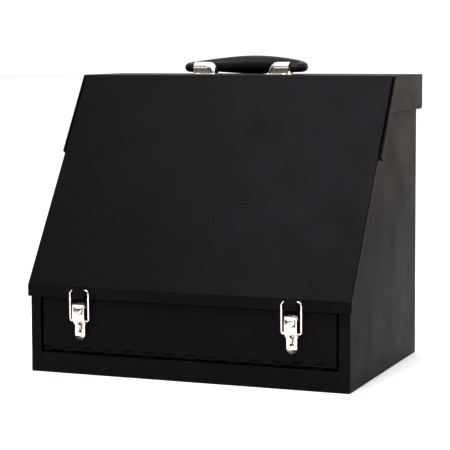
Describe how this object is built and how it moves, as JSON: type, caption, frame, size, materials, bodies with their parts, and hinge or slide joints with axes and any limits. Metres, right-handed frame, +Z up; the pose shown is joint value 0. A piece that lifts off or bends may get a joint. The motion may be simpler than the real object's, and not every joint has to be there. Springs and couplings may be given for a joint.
{
  "type": "portable tool box",
  "caption": "Portable steel tool box with a sloping hinged lid, a drop front, draw latches, stepped tool tiers and a folding carrying handle.",
  "frame": {"origin": "centre of the case's rectangular footprint, on the underside of the case where it rests", "axes": "+X to the right of a person who faces the drop front, along the lid's width and square to the symmetry plane; +Y from the drop front to the back; +Z up"},
  "size_m": [0.572, 0.4056, 0.522],
  "materials": {
    "powder_coat": "black textured powder coat, semi-gloss",
    "chrome_plate": "bright plated",
    "handle_plastic": "moulded, fine grain, semi-matt",
    "seal_rubber": "matt",
    "zinc_steel": "zinc plated, satin"
  },
  "bodies": {
    "case": {"left_side_panel": "powder_coat", "right_side_panel": "powder_coat", "floor_pan": "powder_coat", "back_panel": "powder_coat", "rear_hinge_case_leaf": "powder_coat", "rear_hinge_rod": "zinc_steel", "front_hinge_leaf": "powder_coat", "front_hinge_rod": "zinc_steel", "lid_seal": "seal_rubber", "lower_tier": "powder_coat", "middle_tier": "powder_coat", "upper_tier": "powder_coat"},
    "lid": {"lid_panel": "powder_coat", "left_lid_cheek": "powder_coat", "right_lid_cheek": "powder_coat", "rear_hinge_lid_leaf": "powder_coat", "left_keeper": "powder_coat", "right_keeper": "powder_coat", "left_handle_saddle": "chrome_plate", "right_handle_saddle": "chrome_plate", "left_handle_pin": "zinc_steel", "right_handle_pin": "zinc_steel", "handle_rivets": "chrome_plate"},
    "handle": {"handle_grip": "handle_plastic"},
    "drop_front": {"front_panel": "powder_coat", "left_latch_plate": "chrome_plate", "right_latch_plate": "chrome_plate", "left_latch_pin": "chrome_plate", "right_latch_pin": "chrome_plate", "left_padlock_staple": "chrome_plate", "right_padlock_staple": "chrome_plate", "latch_rivets": "chrome_plate"},
    "left_lever": {"left_lever": "chrome_plate"},
    "right_lever": {"right_lever": "chrome_plate"},
    "left_bail": {"left_bail": "chrome_plate"},
    "right_bail": {"right_bail": "chrome_plate"}
  },
  "joints": [
    {"name": "lid_hinge", "type": "hinge", "parent": "case", "child": "lid", "pos_m": [0, 0.19455, 0.4325], "axis": [-1, 0, 0], "range_deg": [0, 110]},
    {"name": "front_panel_hinge", "type": "hinge", "parent": "case", "child": "drop_front", "pos_m": [0, -0.18925, 0.04045], "axis": [1, 0, 0], "range_deg": [0, 90]},
    {"name": "handle_hinge", "type": "hinge", "parent": "lid", "child": "handle", "pos_m": [0, 0.0745, 0.501], "axis": [1, 0, 0], "range_deg": [0, 83]},
    {"name": "left_lever_hinge", "type": "hinge", "parent": "drop_front", "child": "left_lever", "pos_m": [-0.184, -0.2005, 0.1142], "axis": [1, 0, 0], "range_deg": [-95, 0]},
    {"name": "left_bail_hinge", "type": "hinge", "parent": "left_lever", "child": "left_bail", "pos_m": [-0.184, -0.2005, 0.0903], "axis": [1, 0, 0], "range_deg": [0, 57]},
    {"name": "right_lever_hinge", "type": "hinge", "parent": "drop_front", "child": "right_lever", "pos_m": [0.184, -0.2005, 0.1142], "axis": [1, 0, 0], "range_deg": [-95, 0]},
    {"name": "right_bail_hinge", "type": "hinge", "parent": "right_lever", "child": "right_bail", "pos_m": [0.184, -0.2005, 0.0903], "axis": [1, 0, 0], "range_deg": [0, 57]}
  ],
  "couplings": [
    {"joint": "left_bail_hinge", "follows": "left_lever_hinge", "ratio": -0.6},
    {"joint": "right_bail_hinge", "follows": "right_lever_hinge", "ratio": -0.6}
  ]
}
